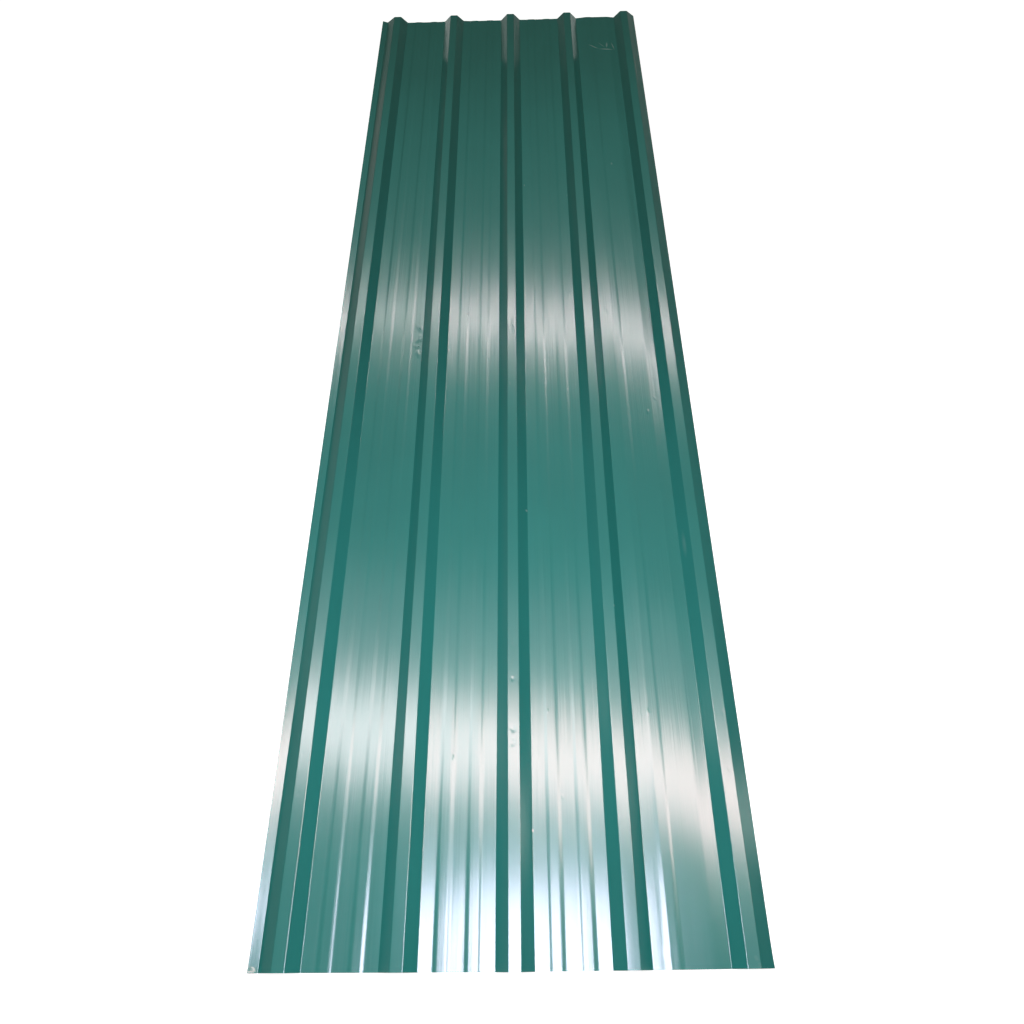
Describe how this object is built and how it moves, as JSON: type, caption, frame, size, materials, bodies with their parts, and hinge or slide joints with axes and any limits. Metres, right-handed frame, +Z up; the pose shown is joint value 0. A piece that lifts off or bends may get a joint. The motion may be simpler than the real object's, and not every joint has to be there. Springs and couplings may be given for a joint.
{
  "type": "box profile roofing sheet",
  "caption": "Long roll-formed roofing sheet of painted steel with trapezoidal ribs, swaged pans, an underlap flange and an overlap edge.",
  "frame": {"origin": "middle of the sheet in plan, level with the undersides of the pans, which rest on the purlins", "axes": "+Y along the ribs, +X across the sheet from the underlap flange to the overlap edge, +Z up out of the weather side"},
  "size_m": [1.118, 3.66, 0.0285],
  "materials": {
    "painted_steel": "glossy dark teal green polyester paint on galvanised steel"
  },
  "bodies": {
    "root": {"roofing_sheet": "painted_steel"}
  },
  "joints": []
}
